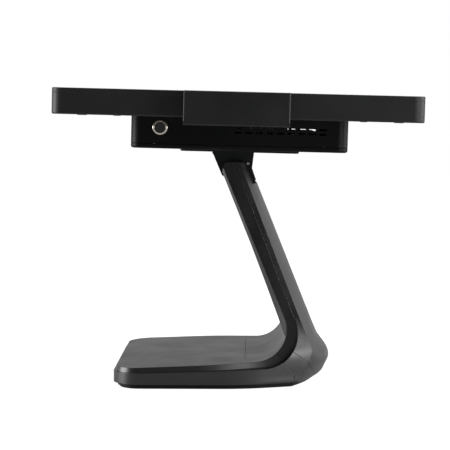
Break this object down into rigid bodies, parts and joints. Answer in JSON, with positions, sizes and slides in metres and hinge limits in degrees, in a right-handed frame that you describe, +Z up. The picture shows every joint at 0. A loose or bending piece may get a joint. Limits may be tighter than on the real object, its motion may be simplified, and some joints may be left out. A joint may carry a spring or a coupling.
{
  "type": "pos touchscreen terminal",
  "caption": "Point-of-sale terminal: a tilting touch display with a rear computer box and side card reader, on a leaning one-leg stand with a flat base.",
  "frame": {"origin": "on the table, under the middle of the base, on the stand's plane of symmetry", "axes": "+Z up, -Y towards the user (front), +X the terminal's right side, where the card reader is"},
  "size_m": [0.396, 0.3004, 0.2604],
  "materials": {
    "black_plastic": "fine textured black ABS",
    "stand_black": "satin black painted shell",
    "black_metal": "black powder coat",
    "steel": "plain steel",
    "screw_black": "black oxide screws",
    "ring_metal": "machined metal ring",
    "cap_black": "dark button cap",
    "rubber": "black rubber",
    "screen_glass": "dark coated cover glass",
    "lcd": "dark display surface",
    "board": "green solder mask",
    "alu": "plain aluminium",
    "iron": "cast iron"
  },
  "bodies": {
    "stand": {"base_shell": "stand_black", "cable_cover": "stand_black", "heel_cover": "stand_black", "neck_rear_cover": "stand_black", "neck_front_cover": "stand_black", "neck_arm": "black_metal", "base_plate": "black_metal", "anti_slip_ring": "rubber", "ballast": "iron", "base_screws": "screw_black"},
    "head": {"head_back_cover": "black_plastic", "bezel_frame": "black_plastic", "glass_gasket": "rubber", "touch_glass": "screen_glass", "lcd_panel": "lcd", "lcd_brackets": "steel", "display_board": "board", "head_bumpers": "rubber", "back_cover_screws": "screw_black", "box_housing": "black_plastic", "box_bottom_cover": "black_plastic", "standoffs": "steel", "mainboard": "board", "heat_sink": "alu", "memory_module": "board", "solid_state_drive": "alu", "speaker": "black_plastic", "dc_jack": "black_plastic", "lan_jack": "alu", "drawer_jack": "black_plastic", "video_port": "steel", "serial_port": "steel", "usb_ports": "steel", "button_body": "ring_metal", "button_nut": "ring_metal", "button_spring": "steel", "reader_base": "black_plastic", "reader_body": "black_plastic", "reader_wall": "black_plastic", "reader_board": "board", "read_head": "steel", "mounting_plate": "black_metal", "plate_screws": "screw_black", "hinge_bracket": "black_metal", "bracket_screws": "screw_black", "stop_pins": "steel", "hinge_shaft": "steel", "friction_washers": "steel", "shaft_nuts": "steel"},
    "button": {"button_cap": "cap_black"}
  },
  "joints": [
    {"name": "head_tilt", "type": "hinge", "parent": "stand", "child": "head", "pos_m": [0, 0.026, 0.186], "axis": [1, 0, 0], "range_deg": [0, 90]},
    {"name": "power_button", "type": "slide", "parent": "head", "child": "button", "axis": [-1, 0, 0], "range_m": [0, 0.0015], "stiffness_N_per_m": 900, "springref_m": -0.0006, "deforming": ["button_spring"]}
  ]
}
